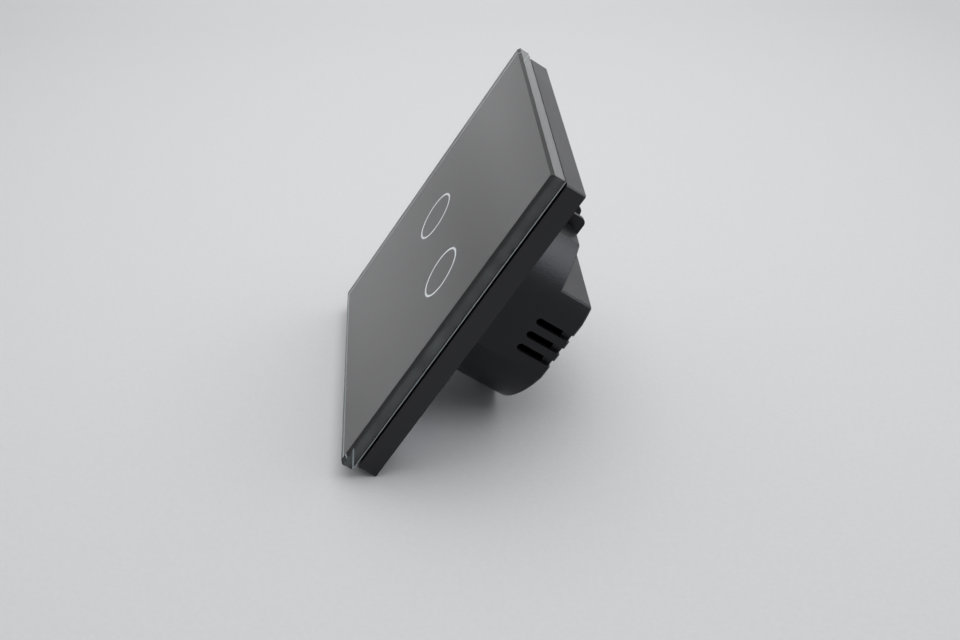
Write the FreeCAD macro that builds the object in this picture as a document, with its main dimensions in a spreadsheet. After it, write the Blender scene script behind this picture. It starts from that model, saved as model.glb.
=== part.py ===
import FreeCAD, Part
import math
import os
from types import SimpleNamespace

import Sketcher
from FreeCAD import Rotation, Vector

# Double touch light switch for a round wall box, in millimetres.
# Seen from the front, +X is right and +Z is up. The glass faces -Y and the housing points to +Y.
# The origin is the axis of the wall box where it crosses the wall, the plane y = 0.

DOC = FreeCAD.newDocument("double_touch_light_switch")

# Driving dimensions: cell name, value, meaning
SIZES = [
    ("panel_side", 80.0, "side of the square glass"),
    ("panel_drop", 1.1, "panel centre below the box axis"),
    ("glass_thick", 3.4, "thickness of the glass"),
    ("glass_chamfer", 0.6, "polished chamfer round the front"),
    ("glass_arris", 0.25, "ground edge round the back"),
    ("bond_thick", 0.7, "thickness of the adhesive"),
    ("bond_setback", 1.2, "adhesive set back from the frame's outside"),
    ("bond_inset", 4.05, "adhesive outside the frame's window"),
    ("frame_setback", 0.6, "frame set back from the glass edge"),
    ("frame_depth", 4.65, "depth of the plastic frame"),
    ("frame_wall", 2.0, "outer wall of the frame"),
    ("frame_web", 1.4, "web that carries the glass"),
    ("frame_corner", 0.5, "radius of the frame's outer corners"),
    ("window_gap", 0.5, "frame window round the front cover"),
    ("pry_width", 9.0, "width of the removal notch"),
    ("pry_depth", 1.2, "depth of the removal notch"),
    ("hook_spread", 20.0, "snap hooks from the centre line"),
    ("hook_width", 5.6, "width of a snap hook"),
    ("hook_thick", 1.1, "thickness of a snap hook"),
    ("hook_gap", 0.25, "hook from the lug's outer face"),
    ("barb_reach", 0.8, "barb of a snap hook"),
    ("barb_height", 0.7, "height of the barb"),
    ("barb_slope", 0.23, "slope of the barb and of the hook's end"),
    ("hook_play", 0.15, "barb from the rear edge of its window"),
    ("plate_gap", 2.9, "mounting plate inside the frame's wall"),
    ("plate_thick", 1.2, "mounting plate sheet"),
    ("plate_corner", 3.0, "cut corners of the mounting plate"),
    ("plate_hole_gap", 0.6, "plate hole round the housing"),
    ("box_screw_spacing", 60.0, "box screws, centre to centre"),
    ("box_slot_width", 4.0, "width of a box-screw slot"),
    ("box_slot_length", 5.5, "end-to-end length of a box-screw slot"),
    ("lug_height", 1.85, "snap lug in front of the plate"),
    ("lug_width", 9.0, "width of a snap lug"),
    ("lug_bridge", 0.46, "lug in front of its window"),
    ("lug_window_side", 0.4, "lug window beside the barb"),
    ("lug_window_low", 0.15, "lug window from the plate"),
    ("housing_radius", 24.25, "round wall of the housing"),
    ("flat_cut", 1.35, "side flats inside the round wall"),
    ("top_cut", 3.65, "flat top inside the round wall"),
    ("housing_wall", 1.3, "wall of the housing"),
    ("shallow_depth", 15.4, "terminal part behind the wall plane"),
    ("deep_depth", 23.6, "relay part behind the wall plane"),
    ("rear_wall", 2.3, "rear wall of the relay part"),
    ("ledge_gap", 1.8, "ledge between the two depths, below the clamp cages"),
    ("edge_bevel", 0.4, "bevelled outer edges of the housing"),
    ("flange_thick", 1.4, "flange of the housing"),
    ("flange_lip", 0.8, "flange beyond the front cover"),
    ("vent_pitch", 3.74, "spacing of the vent slots"),
    ("vent_width", 1.8, "width of a vent slot"),
    ("vent_length", 9.5, "vent slot from the rear face"),
    ("vent_depth", 1.5, "depth of a vent slot"),
    ("terminal_pitch", 6.6, "spacing of the terminals"),
    ("cage_top_gap", 0.4, "clamp cages below the flat top's inside"),
    ("barrier_thick", 1.2, "barrier between terminals"),
    ("barrier_rise", 2.75, "barrier above the flat top"),
    ("barrier_reach", 1.2, "barrier behind the terminal part"),
    ("barrier_round", 1.4, "rounded corner of a barrier"),
    ("partition_thick", 0.8, "wall between clamp cages"),
    ("wire_hole_radius", 1.6, "wire entry"),
    ("driver_hole_radius", 1.7, "screwdriver hole"),
    ("cover_wall", 1.2, "side wall of the front cover"),
    ("cover_face", 1.0, "face of the front cover"),
    ("cover_gap", 0.1, "front cover from the glass"),
    ("cover_corner", 2.0, "cut corners of the front cover and flange"),
    ("rim_gap", 0.2, "cover wall round the housing rim"),
    ("lens_hole_gap", 0.25, "front cover hole round a lens"),
    ("touch_spacing", 30.0, "rings, centre to centre"),
    ("touch_rise", 0.3, "rings above the panel centre"),
    ("lens_side_gap", 1.85, "light lens from the front cover's side wall"),
    ("lens_pocket_radius", 1.9, "pocket in the lens over the light"),
    ("led_gap", 0.15, "that pocket in front of the light"),
    ("led_width", 1.6, "indicator light, across"),
    ("led_height", 0.8, "indicator light, up and down"),
    ("led_thick", 0.5, "indicator light off the board"),
    ("electrode_thick", 0.2, "sensing ring"),
    ("electrode_inner", 2.3, "inner radius of the sensing ring"),
    ("electrode_inset", 0.6, "sensing ring inside the lens's edge"),
    ("touch_board_thick", 1.0, "touch board"),
    ("chip_length", 5.0, "touch chip, across"),
    ("chip_width", 4.0, "touch chip, up and down"),
    ("chip_thick", 1.2, "touch chip case"),
    ("chip_stand", 0.1, "touch chip case off the board"),
    ("chip_drop", 3.0, "touch chip below the axis"),
    ("chip_lead_width", 0.4, "width of a chip lead"),
    ("chip_lead_thick", 0.3, "thickness of a chip lead"),
    ("chip_lead_reach", 1.0, "chip lead beyond the case"),
    ("chip_lead_pitch", 1.27, "spacing of the chip leads"),
    ("board_gap", 0.3, "boards inside their walls"),
    ("screw_inset", 3.4, "cover screws from the cover's sides"),
    ("screw_boss_half", 2.7, "corner bosses inside the cover screws"),
    ("screw_shank_radius", 1.0, "cover screw shank"),
    ("screw_head_radius", 1.9, "cover screw head"),
    ("screw_head_height", 1.0, "height of a cover screw's head"),
    ("screw_sink", 0.2, "head below the cover's face"),
    ("screw_end_gap", 0.1, "screw end inside the mounting plate"),
    ("screw_hole_gap", 0.15, "hole round the cover screw"),
    ("thread_gap", 0.05, "tapped hole round the plain shank"),
    ("power_board_thick", 1.6, "power board"),
    ("power_board_depth", 1.2, "component side of the power board behind the wall"),
    ("rib_width", 1.5, "ribs that carry the power board"),
    ("rib_inset", 9.15, "ribs inside the round wall's widest point"),
    ("rib_height", 2.6, "ribs into the housing"),
    ("relay_width", 10.1, "relay, across"),
    ("relay_length", 17.8, "relay, up and down"),
    ("relay_height", 12.5, "relay off the board"),
    ("relay_wall_gap", 3.05, "relays from the side flats' inside"),
    ("relay_drop", 3.0, "relays below the axis"),
    ("relay_bevel", 0.6, "bevelled edges of a relay"),
    ("transformer_gap", 1.95, "transformer from the relays"),
    ("transformer_length", 11.0, "transformer core, up and down"),
    ("transformer_height", 11.5, "transformer off the board"),
    ("transformer_drop", 3.5, "transformer below the axis"),
    ("transformer_foot", 1.5, "bobbin flange on the board"),
    ("transformer_core", 5.0, "depth of the core"),
    ("coil_inset", 1.5, "winding inside the core's sides"),
    ("film_cap_width", 13.0, "film capacitor, across"),
    ("film_cap_length", 5.0, "film capacitor, up and down"),
    ("film_cap_height", 11.0, "film capacitor off the board"),
    ("film_cap_gap", 2.9, "film capacitor below the contact bars"),
    ("film_cap_bevel", 0.5, "bevelled edges of the film capacitor"),
    ("filter_cap_radius", 4.0, "electrolytic can"),
    ("filter_cap_height", 12.0, "electrolytic can off the board"),
    ("filter_cap_drop", 14.8, "electrolytic can below the axis"),
    ("can_bevel", 0.4, "bevelled end of the can"),
    ("varistor_radius", 3.5, "radius of the varistor disc"),
    ("varistor_thick", 3.0, "thickness of the varistor disc"),
    ("varistor_stand", 1.0, "varistor disc off the board"),
    ("varistor_lead_spacing", 3.5, "varistor leads, centre to centre"),
    ("fuse_radius", 1.7, "radius of the fuse resistor"),
    ("fuse_length", 6.4, "length of the fuse resistor"),
    ("fuse_stand", 0.3, "fuse resistor off the board"),
    ("lead_side", 0.6, "square component leads"),
    ("small_part_offset", 9.4, "varistor and fuse beside the axis"),
    ("small_part_gap", 2.6, "varistor disc below the relays"),
    ("header_pitch", 2.54, "connector pins"),
    ("header_inset", 6.1, "connector below the flat top"),
    ("header_width", 2.5, "connector, up and down"),
    ("header_base", 0.85, "plastic base of the pins"),
    ("header_pin_side", 0.64, "square connector pin"),
    ("header_pin_gap", 0.15, "socket round a pin"),
    ("socket_floor", 0.5, "socket in front of its pin holes"),
    ("pin_end_gap", 0.17, "pin from the end of its hole"),
    ("cage_side_gap", 0.3, "clamp cage from the walls beside it"),
    ("cage_length", 5.0, "clamp cage, along the wire"),
    ("cage_wall", 0.8, "cage sides"),
    ("cage_floor", 1.0, "cage front wall"),
    ("cage_nut", 2.0, "threaded wall of the cage"),
    ("cage_rest_gap", 0.2, "open cage from the power board"),
    ("closed_gap", 0.7, "closed clamp between cage and bar"),
    ("bar_thick", 1.0, "contact bar"),
    ("bar_rear_gap", 0.8, "contact bar from the open cage's threaded wall"),
    ("bar_side_gap", 0.3, "contact bar inside the cage"),
    ("bar_foot_gap", 0.5, "contact bar foot below the cage"),
    ("clamp_travel", 2.5, "travel of a clamp cage"),
    ("terminal_shank_radius", 1.5, "terminal screw shank"),
    ("terminal_head_radius", 2.0, "terminal screw head"),
    ("terminal_head_height", 1.6, "terminal screw head"),
    ("terminal_end_gap", 0.05, "captive screw end play"),
    ("nut_gap", 0.06, "threaded wall round the plain shank"),
    ("driver_slot_width", 0.6, "slot in a terminal screw"),
    ("driver_slot_depth", 0.7, "slot in a terminal screw"),
]

HEADER_PINS = 5
CHIP_LEADS = 4
VENTS = 3
SIDES = {"left": -1, "right": 1}
CORNERS = [(x, z) for x in SIDES.values() for z in SIDES.values()]
TERMINALS = {"left": -1, "common": 0, "right": 1}

# How far a cut reaches past the face that it opens
OVERCUT = 1.0


class Size:
    """A length known both as a number and as a formula over the sheet's cells."""

    def __init__(self, value, text=None):
        self.value = float(value)
        self.text = text or repr(float(value))

    def joined(self, sign, other, value):
        return Size(value, f"({self.text} {sign} {other.text})")

    def __add__(self, other):
        other = sized(other)
        return self.joined("+", other, self.value + other.value)

    def __sub__(self, other):
        other = sized(other)
        return self.joined("-", other, self.value - other.value)

    def __mul__(self, other):
        other = sized(other)
        return self.joined("*", other, self.value * other.value)

    def __truediv__(self, other):
        other = sized(other)
        return self.joined("/", other, self.value / other.value)

    def __neg__(self):
        return Size(-self.value, f"(-1 * {self.text})")

    __radd__ = __add__
    __rmul__ = __mul__

    def __rsub__(self, other):
        return sized(other) - self


def sized(number):
    return number if isinstance(number, Size) else Size(number)


def write_sheet():
    sheet = DOC.addObject("Spreadsheet::Sheet", "Sizes")
    for row, (name, value, meaning) in enumerate(SIZES, start=1):
        sheet.set(f"A{row}", name)
        sheet.set(f"B{row}", str(value))
        sheet.setAlias(f"B{row}", name)
        sheet.set(f"C{row}", meaning)
    DOC.recompute()
    return SimpleNamespace(**{name: Size(value, f"Sizes.{name}") for name, value, _ in SIZES})


S = write_sheet()

# Depths and rises that several pieces share
FRAME_FRONT = -S.frame_depth
GLASS_BACK = FRAME_FRONT - S.bond_thick
GLASS_FRONT = GLASS_BACK - S.glass_thick
COVER_FRONT = GLASS_BACK + S.cover_gap
BOARD_FRONT = COVER_FRONT + S.cover_face
RIM_FRONT = BOARD_FRONT + S.touch_board_thick
PLATE_FRONT = -S.plate_thick
FLANGE_FRONT = PLATE_FRONT - S.flange_thick
FRAME_HALF = S.panel_side / 2 - S.frame_setback
COVER_INNER = S.housing_radius + S.rim_gap
COVER_HALF = COVER_INNER + S.cover_wall
SCREW_OFFSET = COVER_HALF - S.screw_inset
PLATE_HALF = FRAME_HALF - S.frame_wall - S.plate_gap
HOUSING_FLAT = S.housing_radius - S.flat_cut
HOUSING_TOP = S.housing_radius - S.top_cut
TERMINAL_RISE = HOUSING_TOP - S.housing_wall - S.cage_top_gap - S.cage_length / 2
LEDGE_RISE = TERMINAL_RISE - S.cage_length / 2 - S.ledge_gap
HEADER_RISE = HOUSING_TOP - S.header_inset
BAR_FOOT_TOP = TERMINAL_RISE - S.cage_length / 2 - S.bar_foot_gap
FILM_CAP_RISE = BAR_FOOT_TOP - S.bar_thick - S.film_cap_gap - S.film_cap_length / 2
RELAY_OFFSET = HOUSING_FLAT - S.housing_wall - S.relay_wall_gap - S.relay_width / 2
TRANSFORMER_WIDTH = 2 * (RELAY_OFFSET - S.relay_width / 2 - S.transformer_gap)
SMALL_PART_DROP = S.relay_drop + S.relay_length / 2 + S.small_part_gap + S.varistor_thick / 2
TOUCH_OFFSET = S.touch_spacing / 2
TOUCH_RISE = S.touch_rise - S.panel_drop
LENS_RADIUS = COVER_INNER - S.lens_side_gap - TOUCH_OFFSET
POWER_BACK = S.power_board_depth
POWER_FRONT = POWER_BACK - S.power_board_thick
CAGE_REST = POWER_BACK + S.cage_rest_gap
WIRE_FLOOR = CAGE_REST + S.cage_floor
WIRE_GAP = S.clamp_travel + S.closed_gap
BAR_FRONT = WIRE_FLOOR + WIRE_GAP
CAGE_WINDOW = WIRE_GAP + S.bar_thick + S.bar_rear_gap
CAGE_WIDTH = S.terminal_pitch - S.partition_thick - 2 * S.cage_side_gap
SHALLOW_INSIDE = S.shallow_depth - S.housing_wall
HEAD_BACK = SHALLOW_INSIDE - S.terminal_end_gap


def bind(thing, path, size):
    thing.setExpression(path, sized(size).text)


def place(thing, x=0, y=0, z=0):
    for axis, size in zip("xyz", (x, y, z)):
        bind(thing, f"Placement.Base.{axis}", size)


def new_body(label, x=0, y=0, z=0):
    body = DOC.addObject("PartDesign::Body", label)
    body.Label = label
    place(body, x, y, z)
    return body


def new_sketch(body, name, plane, height=0):
    """A sketch on an origin plane of the body, moved along that plane's normal."""
    sketch = body.newObject("Sketcher::SketchObject", name)
    role = f"{plane}_Plane"
    sketch.AttachmentSupport = [f for f in body.Origin.OriginFeatures if f.Role == role][0]
    sketch.MapMode = "FlatFace"
    bind(sketch, "AttachmentOffset.Base.z", height)
    return sketch


def wall_sketch(body, name, depth=0):
    """A sketch that faces the front, with its own x and y along X and Z."""
    return new_sketch(body, name, "XZ", -sized(depth))


def fix_point(sketch, line, end, x, y):
    """Ties a point of the sketch to a place measured from the sketch's origin."""
    for kind, size, axis in (("DistanceX", sized(x), -2), ("DistanceY", sized(y), -1)):
        if size.value == 0:
            sketch.addConstraint(Sketcher.Constraint("PointOnObject", line, end, axis))
            continue
        index = sketch.addConstraint(Sketcher.Constraint(kind, -1, 1, line, end, size.value))
        bind(sketch, f"Constraints[{index}]", size)


def polygon(sketch, points):
    """A closed run of straight lines through points, each a pair of sizes."""
    vectors = [Vector(sized(x).value, sized(y).value, 0) for x, y in points]
    lines = []
    for start, end in zip(vectors, vectors[1:] + vectors[:1]):
        lines.append(sketch.addGeometry(Part.LineSegment(start, end)))
    for line, following in zip(lines, lines[1:] + lines[:1]):
        sketch.addConstraint(Sketcher.Constraint("Coincident", line, 2, following, 1))
    for line, (x, y) in zip(lines, points):
        fix_point(sketch, line, 1, x, y)


def rectangle(sketch, left, low, right, high):
    polygon(sketch, [(left, low), (right, low), (right, high), (left, high)])


def square(sketch, half, rise=0):
    rectangle(sketch, -half, rise - half, half, rise + half)


def circle(sketch, radius, x=0, y=0):
    centre = Vector(sized(x).value, sized(y).value, 0)
    index = sketch.addGeometry(Part.Circle(centre, Vector(0, 0, 1), radius.value))
    fix_point(sketch, index, 3, x, y)
    ring = sketch.addConstraint(Sketcher.Constraint("Radius", index, radius.value))
    bind(sketch, f"Constraints[{ring}]", radius)


def flat_sided_round(sketch, radius, flat, top):
    """A circle cut by a flat on each side and one on top."""
    flat_rise = math.sqrt(radius.value**2 - flat.value**2)
    top_half = math.sqrt(radius.value**2 - top.value**2)
    side_angle = math.atan2(flat_rise, flat.value)
    top_angle = math.atan2(top.value, top_half)
    full = Part.Circle(Vector(0, 0, 0), Vector(0, 0, 1), radius.value)
    right = Part.LineSegment(Vector(flat.value, -flat_rise, 0), Vector(flat.value, flat_rise, 0))
    upper_right = Part.ArcOfCircle(full, side_angle, top_angle)
    over = Part.LineSegment(Vector(top_half, top.value, 0), Vector(-top_half, top.value, 0))
    upper_left = Part.ArcOfCircle(full, math.pi - top_angle, math.pi - side_angle)
    left = Part.LineSegment(Vector(-flat.value, flat_rise, 0), Vector(-flat.value, -flat_rise, 0))
    lower = Part.ArcOfCircle(full, math.pi + side_angle, 2 * math.pi - side_angle)
    pieces = [sketch.addGeometry(g) for g in (right, upper_right, over, upper_left, left, lower)]
    for piece, following in zip(pieces, pieces[1:] + pieces[:1]):
        sketch.addConstraint(Sketcher.Constraint("Coincident", piece, 2, following, 1))
    arcs = pieces[1::2]
    for arc in arcs:
        sketch.addConstraint(Sketcher.Constraint("Coincident", arc, 3, -1, 1))
    for arc in arcs[1:]:
        sketch.addConstraint(Sketcher.Constraint("Equal", arcs[0], arc))
    for line in (pieces[0], pieces[4]):
        sketch.addConstraint(Sketcher.Constraint("Vertical", line))
    sketch.addConstraint(Sketcher.Constraint("Horizontal", pieces[2]))
    sizes = [
        (Sketcher.Constraint("Radius", arcs[0], radius.value), radius),
        (Sketcher.Constraint("DistanceX", -1, 1, pieces[0], 1, flat.value), flat),
        (Sketcher.Constraint("DistanceX", pieces[4], 1, -1, 1, flat.value), flat),
        (Sketcher.Constraint("DistanceY", -1, 1, pieces[2], 1, top.value), top),
    ]
    for constraint, size in sizes:
        index = sketch.addConstraint(constraint)
        bind(sketch, f"Constraints[{index}]", size)


def slot(sketch, length, width, x, y=0):
    """A slot with round ends, its length along the sketch's x."""
    half = width.value / 2
    reach = (length.value - width.value) / 2
    middle = Vector(sized(x).value, sized(y).value, 0)
    ends = []
    for side, start in ((-1, math.pi / 2), (1, -math.pi / 2)):
        round_end = Part.Circle(middle + Vector(side * reach, 0, 0), Vector(0, 0, 1), half)
        ends.append(sketch.addGeometry(Part.ArcOfCircle(round_end, start, start + math.pi)))
    low = Part.LineSegment(middle + Vector(-reach, -half, 0), middle + Vector(reach, -half, 0))
    high = Part.LineSegment(middle + Vector(reach, half, 0), middle + Vector(-reach, half, 0))
    low = sketch.addGeometry(low)
    high = sketch.addGeometry(high)
    run = [ends[0], low, ends[1], high]
    for piece, following in zip(run, run[1:] + run[:1]):
        sketch.addConstraint(Sketcher.Constraint("Tangent", piece, 2, following, 1))
    index = sketch.addConstraint(Sketcher.Constraint("Radius", ends[0], half))
    bind(sketch, f"Constraints[{index}]", width / 2)
    fix_point(sketch, ends[0], 3, x - (length - width) / 2, y)
    fix_point(sketch, ends[1], 3, x + (length - width) / 2, y)


def pad(body, sketch, length, toward_rear=True, centred=False):
    """Adds material behind a wall sketch, or to both sides of any sketch."""
    feature = body.newObject("PartDesign::Pad", sketch.Name + "_pad")
    feature.Profile = sketch
    bind(feature, "Length", length)
    feature.Midplane = centred
    feature.Reversed = toward_rear and not centred
    sketch.Visibility = False
    return feature


def pocket(body, sketch, depth, reverse=False):
    """Cuts behind a wall sketch, or below any other sketch."""
    feature = body.newObject("PartDesign::Pocket", sketch.Name + "_cut")
    feature.Profile = sketch
    bind(feature, "Length", depth)
    feature.Reversed = reverse
    return feature


def edges_where(feature, test):
    """Names of the feature's edges whose middle passes a test."""
    DOC.recompute()
    names = []
    for number, edge in enumerate(feature.Shape.Edges, start=1):
        middle = edge.valueAt((edge.FirstParameter + edge.LastParameter) / 2)
        if test(middle, edge):
            names.append(f"Edge{number}")
    return names


def round_edges(body, feature, radius, test, kind="Fillet"):
    finish = body.newObject(f"PartDesign::{kind}", feature.Name + "_" + kind.lower())
    finish.Base = (feature, edges_where(feature, test))
    bind(finish, "Radius" if kind == "Fillet" else "Size", radius)
    return finish


def near(number, size):
    """True where a number is a size, to a ten-thousandth of a millimetre."""
    return abs(number - sized(size).value) < 1e-4


def along(edge, axis):
    """True where a straight edge runs along an axis, given as 0, 1 or 2."""
    if len(edge.Vertexes) != 2:
        return False
    span = edge.Vertexes[1].Point - edge.Vertexes[0].Point
    return near(abs(span[axis]), edge.Length)


def ordered(first, second):
    """Two sizes, the smaller one first."""
    return sorted((first, second), key=lambda size: size.value)


def corner_square(sketch, x, z, inner, outer):
    """A square in one corner, between two distances from both axes."""
    left, right = ordered(x * inner, x * outer)
    low, high = ordered(z * inner, z * outer)
    rectangle(sketch, left, low, right, high)


def glass_panel():
    """Square glass, chamfered in front and ground at the back edge."""
    body = new_body("glass_panel", 0, GLASS_FRONT, -S.panel_drop)
    outline = wall_sketch(body, "glass_outline")
    square(outline, S.panel_side / 2)
    slab = pad(body, outline, S.glass_thick)
    front = round_edges(body, slab, S.glass_chamfer, lambda p, e: near(p.y, 0), "Chamfer")
    round_edges(body, front, S.glass_arris, lambda p, e: near(p.y, S.glass_thick), "Chamfer")


def panel_adhesive():
    """Square foam strip between the glass and the frame's web."""
    body = new_body("panel_adhesive", 0, GLASS_BACK, -S.panel_drop)
    outline = wall_sketch(body, "bond_outline")
    square(outline, FRAME_HALF - S.bond_setback)
    square(outline, COVER_HALF + S.window_gap + S.bond_inset)
    pad(body, outline, S.bond_thick)


def snap_hook(body, side, level):
    """One hook behind the web, its barb turned towards the middle of the plate."""
    inner = PLATE_HALF + S.hook_gap
    barb_back = S.frame_depth + PLATE_FRONT - S.lug_window_low - S.hook_play
    barb_front = barb_back - S.barb_height
    profile = new_sketch(body, f"hook_{side}_{level}", "YZ", SIDES[side] * S.hook_spread)
    sign = 1 if level == "upper" else -1
    near_face = sign * inner + S.panel_drop
    far_face = sign * (inner + S.hook_thick) + S.panel_drop
    tip = sign * (inner - S.barb_reach) + S.panel_drop
    root = S.frame_web / 2
    polygon(profile, [
        (root, near_face), (barb_front, near_face), (barb_front + S.barb_slope, tip),
        (barb_back, near_face), (barb_back + S.barb_slope, far_face), (root, far_face),
    ])
    pad(body, profile, S.hook_width, centred=True)


def panel_frame():
    """Moulded frame: outer wall, web with a window, four snap hooks and a removal notch."""
    body = new_body("panel_frame", 0, FRAME_FRONT, -S.panel_drop)
    outline = wall_sketch(body, "frame_outline")
    square(outline, FRAME_HALF)
    block = pad(body, outline, S.frame_depth)
    round_edges(body, block, S.frame_corner, lambda p, e: along(e, 1))
    window = wall_sketch(body, "frame_window")
    square(window, COVER_HALF + S.window_gap, S.panel_drop)
    pocket(body, window, S.frame_depth)
    recess = wall_sketch(body, "frame_recess", S.frame_web)
    square(recess, FRAME_HALF - S.frame_wall)
    pocket(body, recess, S.frame_depth - S.frame_web)
    notch = wall_sketch(body, "pry_notch", S.frame_depth - S.pry_depth)
    notch_half = S.pry_width / 2
    rectangle(notch, -notch_half, -FRAME_HALF - OVERCUT, notch_half, S.frame_wall / 2 - FRAME_HALF)
    pocket(body, notch, S.pry_depth)
    for side in SIDES:
        for level in ("upper", "lower"):
            snap_hook(body, side, level)


def mounting_plate():
    """Pressed steel plate: housing hole, box-screw slots, tapped holes and bent snap lugs."""
    body = new_body("mounting_plate", 0, PLATE_FRONT, 0)
    outline = wall_sketch(body, "plate_outline")
    square(outline, PLATE_HALF)
    sheet = pad(body, outline, S.plate_thick)
    round_edges(body, sheet, S.plate_corner, lambda p, e: along(e, 1), "Chamfer")
    holes = wall_sketch(body, "plate_holes")
    gap = S.plate_hole_gap
    barrier_top = HOUSING_TOP + S.barrier_rise
    flat_sided_round(holes, S.housing_radius + gap, HOUSING_FLAT + gap, barrier_top + gap)
    for x, z in CORNERS:
        circle(holes, S.screw_shank_radius + S.thread_gap, x * SCREW_OFFSET, z * SCREW_OFFSET)
    pocket(body, holes, S.plate_thick)
    slots = wall_sketch(body, "box_slots")
    for side in SIDES.values():
        slot(slots, S.box_slot_length, S.box_slot_width, side * S.box_screw_spacing / 2)
    pocket(body, slots, S.plate_thick)
    for level in SIDES.values():
        bent_lugs(body, level)


def bent_lugs(body, level):
    """Two lugs bent forward from the upper or lower edge, each with a window for a barb."""
    name = "upper" if level > 0 else "lower"
    lugs = wall_sketch(body, f"lugs_{name}", -S.lug_height)
    windows = wall_sketch(body, f"lug_windows_{name}", S.lug_bridge - S.lug_height)
    low = level * (PLATE_HALF - S.plate_thick)
    high = level * PLATE_HALF
    window_half = S.hook_width / 2 + S.lug_window_side
    for side in SIDES.values():
        middle = side * S.hook_spread
        rectangle(lugs, middle - S.lug_width / 2, low, middle + S.lug_width / 2, high)
        past = level * OVERCUT
        rectangle(windows, middle - window_half, low - past, middle + window_half, high + past)
    pad(body, lugs, S.lug_height)
    pocket(body, windows, S.lug_height - S.lug_bridge - S.lug_window_low)


def front_cover():
    """Shallow moulded cover with two lens holes and a screw boss in each corner."""
    body = new_body("front_cover", 0, COVER_FRONT, 0)
    depth = FLANGE_FRONT - COVER_FRONT
    outline = wall_sketch(body, "cover_outline")
    square(outline, COVER_HALF)
    block = pad(body, outline, depth)
    round_edges(body, block, S.cover_corner, lambda p, e: along(e, 1), "Chamfer")
    inside = wall_sketch(body, "cover_inside", S.cover_face)
    square(inside, COVER_INNER)
    pocket(body, inside, depth - S.cover_face)
    bosses = wall_sketch(body, "cover_bosses", S.cover_face / 2)
    seats = wall_sketch(body, "head_seats")
    holes = wall_sketch(body, "cover_holes")
    for x, z in CORNERS:
        corner_square(bosses, x, z, SCREW_OFFSET - S.screw_boss_half, COVER_INNER)
        circle(seats, S.screw_head_radius + S.screw_hole_gap, x * SCREW_OFFSET, z * SCREW_OFFSET)
        circle(holes, S.screw_shank_radius + S.screw_hole_gap, x * SCREW_OFFSET, z * SCREW_OFFSET)
    for side in SIDES.values():
        circle(holes, LENS_RADIUS + S.lens_hole_gap, side * TOUCH_OFFSET, TOUCH_RISE)
    pad(body, bosses, depth - S.cover_face / 2)
    pocket(body, seats, S.screw_head_height + S.screw_sink)
    pocket(body, holes, depth)


def touch_board():
    """Square board behind the cover's face, cut away round the screw bosses."""
    body = new_body("touch_board", 0, BOARD_FRONT, 0)
    outline = wall_sketch(body, "touch_outline")
    square(outline, COVER_INNER - S.board_gap)
    pad(body, outline, S.touch_board_thick)
    corners = wall_sketch(body, "touch_corners")
    for x, z in CORNERS:
        corner_square(corners, x, z, SCREW_OFFSET - S.screw_boss_half - S.board_gap, COVER_INNER + OVERCUT)
    pocket(body, corners, S.touch_board_thick)


def light_lens(side):
    """Round translucent lens with a pocket over the indicator."""
    body = new_body(f"light_lens_{side}", SIDES[side] * TOUCH_OFFSET, COVER_FRONT, TOUCH_RISE)
    profile = new_sketch(body, f"lens_{side}", "XY")
    thick = S.cover_face - S.electrode_thick
    pocket_front = S.cover_face - S.led_thick - S.led_gap
    polygon(profile, [
        (0, 0), (LENS_RADIUS, 0), (LENS_RADIUS, thick), (S.lens_pocket_radius, thick),
        (S.lens_pocket_radius, pocket_front), (0, pocket_front),
    ])
    turn(body, profile)


def turn(body, profile):
    """Turns a profile through a full circle round the sketch's upright axis."""
    feature = body.newObject("PartDesign::Revolution", profile.Name + "_turned")
    feature.Profile = profile
    feature.ReferenceAxis = (profile, ["V_Axis"])
    feature.Angle = 360.0
    return feature


def touch_electrode(side):
    """Flat sensing ring between the lens and the board."""
    front = BOARD_FRONT - S.electrode_thick
    body = new_body(f"touch_electrode_{side}", SIDES[side] * TOUCH_OFFSET, front, TOUCH_RISE)
    outline = wall_sketch(body, f"electrode_{side}")
    circle(outline, LENS_RADIUS - S.electrode_inset)
    circle(outline, S.electrode_inner)
    pad(body, outline, S.electrode_thick)


def block(label, width, depth, height, x, y, z):
    """A box centred on x and z that starts at y and grows to the rear."""
    box = DOC.addObject("Part::Box", label)
    box.Label = label
    bind(box, "Length", width)
    bind(box, "Width", depth)
    bind(box, "Height", height)
    place(box, x - sized(width) / 2, y, z - sized(height) / 2)
    return box


def indicator_led(side):
    """Small surface-mounted light in the middle of a sensing ring."""
    block(f"indicator_led_{side}", S.led_width, S.led_thick, S.led_height,
          SIDES[side] * TOUCH_OFFSET, BOARD_FRONT - S.led_thick, TOUCH_RISE)


def touch_chip():
    """Flat chip on the back of the touch board, with four leads on each side."""
    parts = [block("chip_case", S.chip_length, S.chip_thick, S.chip_width,
                   0, RIM_FRONT + S.chip_stand, -S.chip_drop)]
    lead_span = S.chip_width + 2 * S.chip_lead_reach
    for step in range(CHIP_LEADS):
        x = S.chip_lead_pitch * (step - (CHIP_LEADS - 1) / 2)
        parts.append(block(f"chip_lead_{step}", S.chip_lead_width, S.chip_lead_thick, lead_span,
                           x, RIM_FRONT, -S.chip_drop))
    fused("touch_chip", parts)


def fused(label, parts):
    whole = DOC.addObject("Part::MultiFuse", label)
    whole.Label = label
    whole.Shapes = parts
    whole.Refine = True
    return whole


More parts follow.
